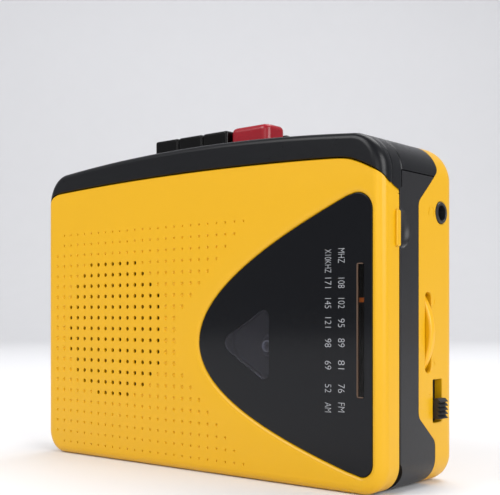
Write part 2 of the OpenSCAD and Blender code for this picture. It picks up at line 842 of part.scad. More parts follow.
module function_knob() {
    ribs = 5;
    low = knob_z[0];
    high = knob_z[1];
    step = (high - low) / ribs;
    color("#1b1b1b") {
        block([half_w - wall - 2.6, switch_slot[0].x + 0.8, low + 0.6],
              [half_w, switch_slot[1].x - 0.8, high - 0.6]);
        translate([half_w, front + switch_slot[1].x - 0.3, 0]) rotate([90, 0, 0])
            linear_extrude(switch_slot[1].x - switch_slot[0].x - 0.6)
                polygon(concat(
                    [[-0.01, high], [-0.01, low], [1.1, low]],
                    [for (i = [0 : ribs - 1], tip = [1, 0])
                        [1.1 + 0.8 * tip, low + step * (i + 1 - 0.85 * tip)]]
                ));
    }
}

module headphone_jack() {
    color("#1b1b1b") difference() {
        union() {
            block([45.5, 23, jack_z - 3], [half_w - wall - 0.1, board_front, jack_z + 3]);
            bar_x(jack_depth, jack_z, 2.6, half_w - wall - 0.1, half_w + 0.3);
        }
        bar_x(jack_depth, jack_z, jack_bore_r, 46.8, half_w + 1);
    }
}

module main_board() {
    color("#2c6b3f") slab(board_front, board_back) difference() {
        intersection() {
            case_face(wall + 0.6);
            translate([-half_w, 18.8]) square([body_w, 61]);
        }
        for (s = screws) translate(s) circle(boss_r + 1);
    }
}

module board_components() {
    color("#5a4632") {
        for (i = [0 : 3]) bar_y(-50 + 0.5 * i, 30 + 7.5 * i, 2, 24.5, board_front);
        for (i = [0 : 2]) block([-8 + 9 * i, 25.6, 23], [-1.5 + 9 * i, board_front, 29.5]);
        block([-12, 26.4, 33], [2, board_front, 39.5]);
    }
}

ferrite_z = 77.1;
ferrite_r = 1.9;
module ferrite_rod() color("#3a3634") bar_x(26.4, ferrite_z, ferrite_r, -45, 24);

module antenna_coil() {
    color("#b5652b") difference() {
        bar_x(26.4, ferrite_z, ferrite_r + 0.2, -22, -4);
        bar_x(26.4, ferrite_z, ferrite_r, -23, -3);
    }
}

module microphone()
    color("#c9ccce") bar_x(microphone_at.x, microphone_at.y, 2.4, wall - half_w, wall - half_w + 3);

// ---- Batteries ----

module battery_cells() {
    color("#b08a3a") for (i = [0, 1]) {
        left = cell_left + i * cell_length;
        bar_x(cell_depth, cell_z, cell_r, left, left + cell_length - 1);
        bar_x(cell_depth, cell_z, 2.7, left + cell_length - 1, left + cell_length - 0.05);
    }
}

module battery_contacts() {
    right = cell_left + 2 * cell_length;
    color("#c9ccce") {
        block([cell_left - 3, cell_depth - 5, 6.8], [cell_left - 2.6, cell_depth + 5, 15]);
        block([right, cell_depth - 5, 4], [right + 0.5, cell_depth + 5, 15]);
    }
}

module battery_spring() {
    color("silver") translate([cell_left - 2.6, front + cell_depth, cell_z]) rotate([0, 90, 0])
        translate([0, -front, 0]) coil(0, 0, 3, 0.25, 0, 2.6, 3);
}

// ---- Assembly ----

middle_frame();
top_bezel();
top_cover();
rear_cover();
battery_hatch();
hatch_pins();
case_screws();
door_shell();
window_panel();
cassette_lens();
dial_lens();
door_liner();
hinge_pins();
speaker_cloth();
speaker_frame();
speaker_cone();
speaker_magnet();
mech_plate();
take_up_spindle();
supply_spindle();
capstan();
capstan_bush();
flywheel();
drive_belt();
motor();
motor_pulley();
idler_wheel();
key_rail();
stop_key();
fast_forward_key();
play_key();
record_key();
stop_key_spring();
fast_forward_key_spring();
play_key_spring();
record_key_spring();
head_carriage();
record_play_head();
erase_head();
pinch_arm();
pinch_roller();
tuning_wheel();
tuning_pointer();
tuning_capacitor();
volume_wheel();
volume_control();
function_knob();
function_switch();
headphone_jack();
main_board();
board_components();
ferrite_rod();
antenna_coil();
microphone();
battery_cells();
battery_contacts();
battery_spring();
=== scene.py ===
"""Looks of the pocket radio cassette recorder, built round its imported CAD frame.

Sizes are millimetres. x runs across the front, depth back from the front face, z up.
"""

import json
import math

import bpy
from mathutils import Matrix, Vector


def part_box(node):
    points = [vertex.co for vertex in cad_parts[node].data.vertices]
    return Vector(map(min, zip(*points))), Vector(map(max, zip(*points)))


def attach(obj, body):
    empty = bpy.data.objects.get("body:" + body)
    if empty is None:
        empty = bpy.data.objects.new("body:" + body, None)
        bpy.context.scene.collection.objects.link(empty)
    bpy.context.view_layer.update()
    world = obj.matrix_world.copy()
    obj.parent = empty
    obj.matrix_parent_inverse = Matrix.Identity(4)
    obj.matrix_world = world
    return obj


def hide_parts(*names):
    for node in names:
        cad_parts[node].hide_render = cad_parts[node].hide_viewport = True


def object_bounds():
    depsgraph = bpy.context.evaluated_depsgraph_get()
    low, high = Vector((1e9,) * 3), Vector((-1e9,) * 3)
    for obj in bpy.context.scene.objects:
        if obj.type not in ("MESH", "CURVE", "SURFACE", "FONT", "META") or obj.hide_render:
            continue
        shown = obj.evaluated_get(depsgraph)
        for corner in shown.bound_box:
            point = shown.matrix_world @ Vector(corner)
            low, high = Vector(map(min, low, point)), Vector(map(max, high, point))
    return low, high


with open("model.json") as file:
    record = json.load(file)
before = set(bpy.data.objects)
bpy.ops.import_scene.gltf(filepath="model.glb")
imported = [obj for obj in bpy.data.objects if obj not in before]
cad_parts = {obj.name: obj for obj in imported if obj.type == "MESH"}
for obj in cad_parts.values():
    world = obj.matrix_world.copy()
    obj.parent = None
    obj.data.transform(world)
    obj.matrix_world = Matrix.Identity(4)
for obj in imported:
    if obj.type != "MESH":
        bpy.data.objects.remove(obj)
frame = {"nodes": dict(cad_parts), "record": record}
bounds_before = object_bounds()

MM = 0.001


def node_box(name):
    """Lowest and highest corner of a CAD node as x, depth and z."""
    low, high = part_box(name)
    return tuple((c.x / MM, c.y / MM - FRONT, c.z / MM) for c in (low, high))


FRONT = bounds_before[0].y / MM

# Cutting blocks run from before and below the case to far above and behind it
OUT = -5
FAR = 120
REACH = 80        # how far they go to either side

# Case
HALF_W = node_box("rear_cover")[1][0]
BODY_D = node_box("rear_cover")[1][1]
BODY_H = node_box("top_bezel")[1][2]
DOOR_H = node_box("door_shell")[1][2]
DOOR_DEPTH = node_box("door_shell")[1][1]
SEAM_Z = node_box("middle_frame")[1][2]         # the top cover stands on the frame here
BEZEL_LOW = node_box("top_bezel")[0][2]
BEZEL_TIPS = 65   # height of the bezel's ends, in front of the frame
BEZEL_BACK = node_box("top_bezel")[1][1]
FRAME_FRONT = DOOR_DEPTH + 0.3
WALL = 2
REAR_INSIDE = BODY_D - WALL
TOP_CORNER = 9
BOTTOM_CORNER = 6.5
CROWN = 540       # radius of the case's top
DOOR_CORNER_FRONT = 6
DOOR_CORNER_BACK = 9
# Lines that cut off the door's upper right corner, at its front and at its back, and how softly they do
DOOR_SLOPE_FRONT = [(50, 75.95), (HALF_W, 71.75)]
DOOR_SLOPE_BACK = [(50, 76), (HALF_W, 71)]
SLOPE_SOFT_FRONT = 0.9
SLOPE_SOFT_BACK = 1.8
SIDE_POINTS = (35, 56, 60, 62, 63.5, 65, 66.5, 68)      # heights on the right side, to bend it below the cut
DOOR_CROWN = 1070
DOOR_GAP = 0.25
DOOR_WALL = 2.4   # thickness of the door's front
GRILLE_T = 0.6    # and of the part with the open holes
EDGE = 2.8        # rounding of the front edges at the sides
EDGE_TOP = 1.4
EDGE_BOTTOM = 2.2
EDGE_REAR = 4
HINGE = 3.2       # depth and height of the door's axis
# Line where frame and cover meet the rear cover, as depth and height
SPLIT = [(23, OUT), (23, 10.4), (15.3, 16.7), (15.3, 66.7), (24.6, 74.9), (24.6, 100)]
SPLIT_ROUNDING = 1.2
SEAM = 0.12
DECK = (16.9, 18.1)                             # front and back of the floor of the cassette well

# Door face; corners are centre and radius, and the panel's also start and end angle
PANEL_FRONT = 0.4
PANEL_BACK = 1.2
PANEL_TIP = (3.06, 33.5)
PANEL_OPEN = 21.4
PANEL_LEAN = 0.058
PANEL_CORNERS = [(52.6, 7.1, 3.1, -90, 0), (51.5, 63.8, 4.2, 0, 100)]
LENS_CORNERS = [(14.4, 33.4, 2.5), (24.5, 40, 1.7), (24.5, 26.4, 1.7)]
DIAL_LOW, DIAL_HIGH = [(c[0], c[2]) for c in node_box("dial_lens")]
PITCH = 3         # of the grille
DOTS_AT = (-29.55, 39.6)
SPEAKER = (-29.1, 36.9)
SPEAKER_R = 20
HOLE_R = 0.54
TEXT_HEIGHT = 1.75
TEXT_RELIEF = 0.02

# Controls, across and up; the jack and the hatch's pivot as depth and height
VOLUME = (44.3, 74.4)
TUNING = (44.1, 36.3)
TUNING_WHEEL = (18.8, 21)                       # front and back of the wheel's rim
SHAFT_R = 1.5
JACK = (26, 64.9)
PIVOT = (32, 5.2)
SCREWS = [(x, z) for x in (-50, 31) for z in (68, 21.4)]

ARC_TURN = 6      # most degrees and most millimetres between the points of an arc
ARC_STEP = 4
LAND = 0.1        # flat strip beside a rounded edge, which keeps the faces next to it looking flat
SHARP = 34        # edges that turn more than this many degrees stay sharp

# Camera, in metres and degrees, and its lens in the units of the camera
CAMERA_AT = (0.1712, -0.1953, 0.0405)
CAMERA_TURN = 40.11
SENSOR = 36
FOCAL_LENGTH = 68.74
SHIFT_UP = 0.1342
LAMPS_AIM = (0, 0, 0.04)


# ---- Finishes ----


def srgb(red, green, blue):
    """Linear colour from 0-255 screen values."""
    return tuple((c / 255) ** 2.2 for c in (red, green, blue)) + (1.0,)


def finish(name, colour, rough=0.4, metal=0.0, vary=0.06, grain=900, bump=0.02, specular=0.5,
           stretch=(1, 1, 1)):
    """A procedural surface: slow shifts of tone, fine grain in the gloss and a little relief."""
    material = bpy.data.materials.new(name)
    material.use_nodes = True
    nodes = material.node_tree.nodes
    link = material.node_tree.links.new
    shader = nodes["Principled BSDF"]
    shader.inputs["Metallic"].default_value = metal
    shader.inputs["Specular IOR Level"].default_value = specular
    place = nodes.new("ShaderNodeTexCoord")
    scale = nodes.new("ShaderNodeMapping")
    scale.inputs["Scale"].default_value = stretch
    link(place.outputs["Object"], scale.inputs["Vector"])

    def noise(size, detail):
        node = nodes.new("ShaderNodeTexNoise")
        node.inputs["Scale"].default_value = size
        node.inputs["Detail"].default_value = detail
        link(scale.outputs["Vector"], node.inputs["Vector"])
        return node

    slow = noise(30, 2)
    fine = noise(grain, 4)
    tones = nodes.new("ShaderNodeMix")
    tones.data_type = "RGBA"
    tones.inputs["A"].default_value = tuple(c * (1 - vary) for c in colour[:3]) + (1.0,)
    tones.inputs["B"].default_value = tuple(min(1.0, c * (1 + vary)) for c in colour[:3]) + (1.0,)
    link(slow.outputs["Fac"], tones.inputs["Factor"])
    link(tones.outputs["Result"], shader.inputs["Base Color"])
    gloss = nodes.new("ShaderNodeMapRange")
    gloss.inputs["To Min"].default_value = max(0.02, rough - 0.06)
    gloss.inputs["To Max"].default_value = rough + 0.06
    link(fine.outputs["Fac"], gloss.inputs["Value"])
    link(gloss.outputs["Result"], shader.inputs["Roughness"])
    relief = nodes.new("ShaderNodeBump")
    relief.inputs["Strength"].default_value = bump
    relief.inputs["Distance"].default_value = 0.0002
    link(fine.outputs["Fac"], relief.inputs["Height"])
    link(relief.outputs["Normal"], shader.inputs["Normal"])
    return material


def glass(name, colour, rough, clear):
    """A see-through moulding, clear from 0 to 1."""
    material = finish(name, colour, rough=rough, vary=0.02, bump=0.0, specular=0.3)
    shader = material.node_tree.nodes["Principled BSDF"]
    shader.inputs["Transmission Weight"].default_value = clear
    shader.inputs["IOR"].default_value = 1.2
    return material


FINISHES = {
    "yellow_shell": finish("yellow_shell", srgb(214, 161, 10), rough=0.38, vary=0.015, bump=0.03,
                           specular=0.4),
    "charcoal_frame": finish("charcoal_frame", srgb(31, 31, 33), rough=0.36, bump=0.02, specular=0.36),
    "black_cover": finish("black_cover", srgb(19, 20, 23), rough=0.3, bump=0.01, specular=0.28),
    "smoked_panel": finish("smoked_panel", srgb(20, 21, 24), rough=0.1, bump=0.0, specular=0.22),
    "clear_lens": glass("clear_lens", srgb(178, 178, 190), 0.05, 0.97),
    "black_liner": finish("black_liner", srgb(34, 34, 36), rough=0.5, bump=0.06),
    "black_key": finish("black_key", srgb(10, 10, 10), rough=0.22, vary=0.02, bump=0.0, specular=0.22),
    "red_key": finish("red_key", srgb(148, 22, 36), rough=0.25, vary=0.03, bump=0.0, specular=0.4),
    "yellow_wheel": finish("yellow_wheel", srgb(228, 168, 6), rough=0.34, vary=0.02),
    "black_knob": finish("black_knob", srgb(32, 32, 34), rough=0.4, bump=0.05),
    "orange_pointer": finish("orange_pointer", srgb(255, 132, 48), rough=0.4),
    "grey_hub": finish("grey_hub", srgb(74, 74, 78), rough=0.4),
    "steel_plate": finish("steel_plate", srgb(172, 176, 180), rough=0.36, metal=1.0,
                          stretch=(1, 1, 12)),
    "polished_steel": finish("polished_steel", srgb(205, 207, 210), rough=0.14, metal=1.0),
    "spring_wire": finish("spring_wire", srgb(178, 180, 184), rough=0.3, metal=1.0),
    "brass": finish("brass", srgb(196, 158, 78), rough=0.3, metal=1.0),
    "zinc_flywheel": finish("zinc_flywheel", srgb(186, 189, 192), rough=0.32, metal=1.0,
                            stretch=(1, 8, 1)),
    "motor_can": finish("motor_can", srgb(160, 164, 168), rough=0.34, metal=1.0),
    "belt_rubber": finish("belt_rubber", srgb(24, 24, 25), rough=0.75, bump=0.1),
    "roller_rubber": finish("roller_rubber", srgb(30, 30, 31), rough=0.7, bump=0.1),
    "cone_paper": finish("cone_paper", srgb(30, 26, 22), rough=0.9, vary=0.2, grain=1600, bump=0.3),
    "speaker_steel": finish("speaker_steel", srgb(150, 152, 155), rough=0.4, metal=1.0),
    "board_green": finish("board_green", srgb(28, 92, 52), rough=0.38, vary=0.12, grain=400),
    "component_brown": finish("component_brown", srgb(84, 62, 44), rough=0.5, vary=0.3),
    "control_blue": finish("control_blue", srgb(52, 96, 130), rough=0.45),
    "ferrite": finish("ferrite", srgb(48, 45, 43), rough=0.6, bump=0.1),
    "copper_wire": finish("copper_wire", srgb(190, 104, 50), rough=0.32, metal=1.0, grain=2500,
                          stretch=(6, 1, 1), bump=0.4),
    "cell_jacket": finish("cell_jacket", srgb(150, 120, 56), rough=0.3, vary=0.1),
}
# Finishes of small pieces that have no slot of their own
# Near-white reel hub tips: partly the tube's own pale colour, partly a painted highlight for the light its
# rim catches
HUB_TIP_WITH_PAINTED_HIGHLIGHT = finish("hub_tip_painted_highlight", srgb(240, 241, 244), rough=0.35)
INK = finish("ink", srgb(166, 168, 172), rough=0.5, specular=0.2)
DIAL_CLEAR = glass("dial_strip", srgb(200, 196, 192), 0.05, 1.0)
DIAL_EDGE = finish("dial_edge", srgb(98, 78, 64), rough=0.35)

for part in frame["record"]["subparts"]:
    data = frame["nodes"][part["node"]].data
    data.materials.clear()
    data.materials.append(FINISHES[part["material_slot"]])


# ---- Outlines: points u, v with the outward direction of each ----


def arcs(*specs):
    """A counter-clockwise outline through arcs given as centre, radius, start and end angle."""
    points = []
    for u, v, r, start, end in specs:
        sweep = abs(end - start)
        steps = max(2, math.ceil(sweep / ARC_TURN), math.ceil(r * math.radians(sweep) / ARC_STEP))
        for i in range(steps + 1):
            turn = math.radians(start + (end - start) * i / steps)
            out = (math.cos(turn), math.sin(turn))
            points.append((u + r * out[0], v + r * out[1]) + out)
    kept = []
    for i, (u, v, nu, nv) in enumerate(points):
        u2, v2, nu2, nv2 = points[(i + 1) % len(points)]
        gap = math.hypot(u2 - u, v2 - v)
        if gap > 1e-4:
            kept.append((u, v, nu, nv))
        if gap > 20 * LAND and abs(nu - nu2) + abs(nv - nv2) < 1e-3:
            step = ((u2 - u) / gap * LAND, (v2 - v) / gap * LAND)
            kept.append((u + step[0], v + step[1], nu, nv))
            kept.append((u2 - step[0], v2 - step[1], nu, nv))
    return kept


def polygon(corners):
    """An outline through counter-clockwise corners, each with a mitred outward direction."""
    outline = []
    for i, (u, v) in enumerate(corners):
        before = corners[i - 1]
        after = corners[(i + 1) % len(corners)]
        first = math.hypot(u - before[0], v - before[1])
        last = math.hypot(after[0] - u, after[1] - v)
        n1 = ((v - before[1]) / first, (before[0] - u) / first)
        n2 = ((after[1] - v) / last, (u - after[0]) / last)
        spread = max(0.3, 1 + n1[0] * n2[0] + n1[1] * n2[1])
        outline.append((u, v, (n1[0] + n2[0]) / spread, (n1[1] + n2[1]) / spread))
    return outline


def softened(corners, rounding, steps=5):
    """Corners with the inner ones of an open line rounded."""
    line = [corners[0]]
    for before, at, after in zip(corners, corners[1:], corners[2:]):
        ends = []
        for other in (before, after):
            length = math.hypot(other[0] - at[0], other[1] - at[1])
            ends.append(tuple(at[k] + (other[k] - at[k]) * rounding / length for k in (0, 1)))
        for i in range(steps + 1):
            t = i / steps
            line.append(tuple((1 - t) ** 2 * ends[0][k] + 2 * t * (1 - t) * at[k] + t * t * ends[1][k]
                              for k in (0, 1)))
    return line + [corners[-1]]


def circle(u, v, r, sides=48):
    """A circle as an outline."""
    turns = [math.tau * i / sides for i in range(sides)]
    return [(u + r * math.cos(a), v + r * math.sin(a), math.cos(a), math.sin(a)) for a in turns]


def round_rect(low, high, r):
    """A rectangle with round corners, from its lowest and highest corner."""
    return arcs((high[0] - r, low[1] + r, r, -90, 0), (high[0] - r, high[1] - r, r, 0, 90),
                (low[0] + r, high[1] - r, r, 90, 180), (low[0] + r, low[1] + r, r, 180, 270))


def crowned(top, corner, crown):
    """Arcs of a front view as wide as the case: bottom right, top right, crown, top left, bottom left."""
    corner_x = HALF_W - corner
    corner_z = top - crown + math.sqrt((crown - corner) ** 2 - corner_x ** 2)
    lean = math.degrees(math.asin(corner_x / (crown - corner)))
    low = HALF_W - BOTTOM_CORNER
    return [(low, BOTTOM_CORNER, BOTTOM_CORNER, -90, 0),
            (corner_x, corner_z, corner, 0, 90 - lean),
            (0, top - crown, crown, 90 - lean, 90 + lean),
            (-corner_x, corner_z, corner, 90 + lean, 180),
            (-low, BOTTOM_CORNER, BOTTOM_CORNER, 180, 270)]


def middle_of(low, high):
    """Middle of a box in the front view."""
    return (low[0] + high[0]) / 2, (low[2] + high[2]) / 2


def grown(outline, by):
    """An outline moved outwards."""
    return [(u + by * nu, v + by * nv, nu, nv) for u, v, nu, nv in outline]


def panel_outline():
    """A parabola lying on its side, closed by a straight right edge with round corners."""
    right_corner_x = PANEL_CORNERS[1][0]
    run = right_corner_x - PANEL_TIP[0] - 3
    steps = 26
    reach = [run * (i / steps) ** 2 for i in range(steps + 1)]

    def edge(t, side):
        return PANEL_TIP[0] + t, PANEL_TIP[1] + PANEL_LEAN * t + side * math.sqrt(PANEL_OPEN * t)

    corners = [point[:2] for point in arcs(*PANEL_CORNERS)]
    upper = [edge(t, 1) for t in reversed(reach)]
    lower = [edge(t, -1) for t in reach[1:]]
    return polygon(corners + upper + lower)


def lens_outline():
    """The clear corner: three round corners joined by straight sides."""
    slant = 118   # direction, in degrees, that the upper slanting side faces
    turns = [(slant, 360 - slant), (0, slant), (-slant, 0)]
    specs = [c + t for c, t in zip(LENS_CORNERS, turns)]
    return arcs(specs[2], specs[1], specs[0])


CASE = arcs(*crowned(BODY_H, TOP_CORNER, CROWN))
PANEL = panel_outline()
LENS = lens_outline()


def door_outline(corner, slope, soft):
    """The front view of the door, every corner size with the same number of points."""
    points = []
    for (u, v, r, start, end), steps in zip(crowned(DOOR_H, corner, DOOR_CROWN), (16, 24, 60, 24, 16)):
        for i in range(steps):
            turn = math.radians(start + (end - start) * (i + 0.5) / steps)
            out = (math.cos(turn), math.sin(turn))
            points.append((u + r * out[0], v + r * out[1]) + out)
        if start < 0:
            points += [(HALF_W, z, 1, 0) for z in SIDE_POINTS]
    (x1, z1), (x2, z2) = slope
    out = Vector((z1 - z2, x2 - x1)).normalized()
    edge_at = out.dot(Vector((x1, z1)))
    clipped = []
    for u, v, nu, nv in points:
        over = out.dot(Vector((u, v))) - edge_at
        reach = math.hypot(over, soft)
        pull, share = (over + reach) / 2, (1 + over / reach) / 2
        facing = (Vector((nu, nv)) * (1 - share) + out * share).normalized()
        clipped.append((u - pull * out.x, v - pull * out.y, facing.x, facing.y))
    return clipped


# ---- Solids ----

VIEWS = {
    "front": lambda u, v, w: (u, w, v),      # outline across and up, carried along the depth
    "side": lambda u, v, w: (w, u, v),       # outline along the depth and up, carried across
    "top": lambda u, v, w: (u, v, w),        # outline across and along the depth, carried up
}


def build(name, points, faces):
    """A new object from points given as x, depth and height."""
    mesh = bpy.data.meshes.new(name)
    mesh.from_pydata([Vector((x, depth + FRONT, z)) * MM for x, depth, z in points], [], faces)
    obj = bpy.data.objects.new(name, mesh)
    bpy.context.collection.objects.link(obj)
    return obj


def loft(name, rings, view="front"):
    """A closed skin through rings with the same number of points; each ring is a list of (u, v, w)."""
    count = len(rings[0])
    turn = VIEWS[view]
    points = [turn(*p) for ring in rings for p in ring]
    faces = []
    for start in range(0, (len(rings) - 1) * count, count):
        for k in range(count):
            a, b = start + k, start + (k + 1) % count
            faces.append((a, b, b + count, a + count))
    faces.append(tuple(reversed(range(count))))
    faces.append(tuple(range((len(rings) - 1) * count, len(rings) * count)))
    if view == "front":
        faces = [tuple(reversed(f)) for f in faces]
    return build(name, points, faces)


def ring(outline, w, inset=0.0):
    """An outline as a ring of a loft, moved inwards."""
    return [(u - inset * nu, v - inset * nv, w) for u, v, nu, nv in outline]


def edge(outline, w, inward, radius, steps=6):
    """Rings over a rounded edge, from the end face at w to the side wall.

    inward is the way into the solid, 1 or -1. radius may be a list with a value for each point.
    """
    radii = radius if isinstance(radius, list) else [radius] * len(outline)
    if max(radii) == 0:
        return [ring(outline, w)]
    rings = [[(u - (r + LAND) * nu, v - (r + LAND) * nv, w) for (u, v, nu, nv), r in zip(outline, radii)]]
    for i in range(steps + 1):
        turn = math.pi / 2 * i / steps
        side, along = 1 - math.sin(turn), 1 - math.cos(turn)
        rings.append([(u - r * side * nu, v - r * side * nv, w + inward * r * along)
                      for (u, v, nu, nv), r in zip(outline, radii)])
    rings.append([(u, v, w + inward * (r + LAND)) for (u, v, nu, nv), r in zip(outline, radii)])
    return rings


def slab(name, outline, low, high, r_low=0.0, r_high=0.0, view="front"):
    """An outline carried from low to high, the edges at either end rounded."""
    rings = edge(outline, low, 1, r_low) + edge(outline, high, -1, r_high)[::-1]
    return loft(name, rings, view)


def turned(name, centre, profile, view="front", sides=64):
    """A round part from (radius, place along the axis) steps."""
    return loft(name, [ring(circle(*centre, r, sides), w) for r, w in profile], view)


def block(name, low, high, r=0.0):
    """A box between two corners, its edges along x and z rounded."""
    left, right, bottom, top = low[0], high[0], low[2], high[2]
    if r:
        outline = round_rect((left, bottom), (right, top), r)
    else:
        outline = polygon([(left, bottom), (right, bottom), (right, top), (left, top)])
    return slab(name, outline, low[1], high[1], r, r)


def wide_block(name, low, high):
    """A cutting block right across the case, from its lowest and highest depth and height."""
    return block(name, (-REACH, *low), (REACH, *high))


def carve(obj, *tools, how="DIFFERENCE"):
    """Cuts the tools from a solid, or adds them to it."""
    for tool in tools:
        step = obj.modifiers.new("step", "BOOLEAN")
        step.operation = how
        step.solver = "MANIFOLD"
        step.object = tool
    graph = bpy.context.evaluated_depsgraph_get()
    made = bpy.data.meshes.new_from_object(obj.evaluated_get(graph))
    obj.modifiers.clear()
    obj.data = made
    for tool in tools:
        bpy.data.objects.remove(tool)
    return obj


def merge(name, objects):
    """Several separate solids as one object."""
    points, faces = [], []
    for obj in objects:
        start = len(points)
        points += [obj.matrix_world @ v.co for v in obj.data.vertices]
        faces += [tuple(start + i for i in p.vertices) for p in obj.data.polygons]
        bpy.data.objects.remove(obj)
    mesh = bpy.data.meshes.new(name)
    mesh.from_pydata(points, [], faces)
    merged = bpy.data.objects.new(name, mesh)
    bpy.context.collection.objects.link(merged)
    return merged


def dress(obj, body, slot, *nodes, material=None):
    """Shades a piece, gives it its finish and body, and hides the CAD nodes it stands for."""
    obj.data.shade_smooth()
    obj.data.set_sharp_from_angle(angle=math.radians(SHARP))
    obj.data.materials.clear()
    obj.data.materials.append(material or FINISHES[slot])
    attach(obj, body)
    if nodes:
        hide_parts(*nodes)
    return obj


def side_tool(name, corners):
    """A solid right across the case, from its outline along the depth and up."""
    return slab(name, polygon(corners), -HALF_W - 5, HALF_W + 5, view="side")


def behind_split():
    """All that is behind the line where frame and rear cover meet."""
    top = SPLIT[-1][1]
    return side_tool("behind", [(FAR, OUT), (FAR, top)] + softened(SPLIT, SPLIT_ROUNDING)[::-1])


def ahead_of_split():
    """All that is ahead of that line, and of the seam."""
    top = SPLIT[-1][1]
    line = [(depth + SEAM, z) for depth, z in softened(SPLIT, SPLIT_ROUNDING)]
    return side_tool("ahead", [(OUT, OUT)] + line + [(OUT, top)])


def interior(front, back):
    """The room inside the walls of the case."""
    return loft("interior", [ring(CASE, front, WALL), ring(CASE, back, WALL)])


def door_room(gap, flare):
    """The room of the door within the case; its upper corners grow rounder towards the back.

    flare is added to the gap at the front, which gives the edge there a small chamfer.
    """
    chamfer = 0.3
    front = door_outline(DOOR_CORNER_FRONT, DOOR_SLOPE_FRONT, SLOPE_SOFT_FRONT)
    back = door_outline(DOOR_CORNER_BACK, DOOR_SLOPE_BACK, SLOPE_SOFT_BACK)

    def outline(depth):
        t = depth / BEZEL_BACK
        return [tuple((1 - t) * a + t * b for a, b in zip(p, q)) for p, q in zip(front, back)]

    rings = [ring(outline(0), OUT, -gap - flare), ring(outline(0), 0, -gap - flare)]
    rings += [ring(outline(depth), depth, -gap) for depth in (chamfer, DOOR_DEPTH, BEZEL_BACK)]
    rings.append(ring(outline(BEZEL_BACK), FAR, -gap))
    return loft("door_room", rings)


def soft_front(back):
    """Rings from the rounded front edge of the case to a depth behind it."""
    radii = [EDGE + ((EDGE_TOP if nv > 0 else EDGE_BOTTOM) - EDGE) * nv ** 2 for u, v, nu, nv in CASE]
    return edge(CASE, 0, 1, radii, steps=8) + [ring(CASE, back)]


# ---- Door ----


def dot_tools():
    """Cutters of the grille: open holes in front of the speaker and blind dimples round them.

    The rows reach further to the right the further they are from the middle one, as the panel's curve
    does, and the dimples grow smaller.
    """
    tools = []
    top_row, middle_row, bottom_row = -8, 2, 12
    for row in range(top_row, bottom_row + 1):
        away = abs(row - middle_row)
        first = -7 if row in (top_row, top_row + 1, bottom_row) else -8
        last = max(8, 6 + away)
        for column in range(first, last + 1):
            x, z = DOTS_AT[0] + PITCH * column, DOTS_AT[1] - PITCH * row
            if math.hypot(x - SPEAKER[0], z - SPEAKER[1]) <= SPEAKER_R + 0.1:
                mouth = [(HOLE_R + 0.25, -0.2), (HOLE_R + 0.08, 0)]
                profile = mouth + [(HOLE_R, 0.1), (HOLE_R, DOOR_WALL + 1)]
            else:
                r = 0.26 + 0.4 * (1 - away / 10)
                profile = [(r + 0.3, -0.2), (r + 0.1, 0), (r, 0.1), (r * 0.7, 0.35)]
            tools.append(turned("dot", (x, z), profile, sides=14))
    return merge("dots", tools)


def door():
    """Front door: soft edges, dotted grille, recess for the panel, hinge pockets and the finger lip."""
    chamfer = 0.25
    rings = soft_front(DOOR_DEPTH - chamfer) + [ring(CASE, DOOR_DEPTH, chamfer)]
    shell = loft("door_shell_piece", rings)
    carve(shell, door_room(0, -0.2), how="INTERSECT")

    inner = door_outline(DOOR_CORNER_BACK, DOOR_SLOPE_BACK, SLOPE_SOFT_BACK)
    cavity = loft("cavity", [ring(inner, DOOR_WALL, WALL), ring(inner, FAR, WALL)])
    seat_r, seat_back = SPEAKER_R + 1.8, 5.8
    carve(cavity, turned("speaker_seat", SPEAKER, [(seat_r, DOOR_WALL - 1), (seat_r, seat_back)]))
    carve(shell, cavity)
    bore_r = SPEAKER_R + 0.3
    carve(shell, turned("cone_bore", SPEAKER, [(bore_r, GRILLE_T), (bore_r, FAR)]))

    recess = [ring(grown(PANEL, by), w) for by, w in
              ((1.6, -0.5), (1.6, 0), (0.7, 0.1), (0.25, 0.25), (0.05, 0.5), (0, 0.8), (0, PANEL_BACK))]
    carve(shell, loft("recess", recess))
    carve(shell, slab("lens_hole", grown(LENS, 1.2), OUT, DOOR_WALL + 1))
    dial_hole = round_rect([c - 1 for c in DIAL_LOW], [c + 1 for c in DIAL_HIGH], 1)
    carve(shell, slab("dial_hole", dial_hole, OUT, DOOR_WALL + 1), dot_tools())

    ear_low, ear_high, ear_r = 52, 55, 2.3
    for side in (-1, 1):
        low, high = sorted((side * ear_low, side * ear_high))
        swing = [(HINGE, OUT), (FAR, OUT), (FAR, HINGE + ear_r), (HINGE, HINGE + ear_r)]
        carve(shell, slab("ear", circle(HINGE, HINGE, ear_r), low, high, view="side"))
        carve(shell, slab("swing", polygon(swing), low, high, view="side"))
    pin_r, pin_end = 1.05, 56.8
    carve(shell, slab("pin_hole", circle(HINGE, HINGE, pin_r, 24), -pin_end, pin_end, view="side"))

    lip_low, lip_high, lip_out = (5, 55.8), (DOOR_DEPTH - 0.3, 64), 0.6
    lip = round_rect(lip_low, lip_high, 0.5)
    carve(shell, slab("lip", lip, HALF_W - 1, HALF_W + lip_out, 0, lip_out / 2, view="side"), how="UNION")
    dress(shell, "door", "yellow_shell", "door_shell")


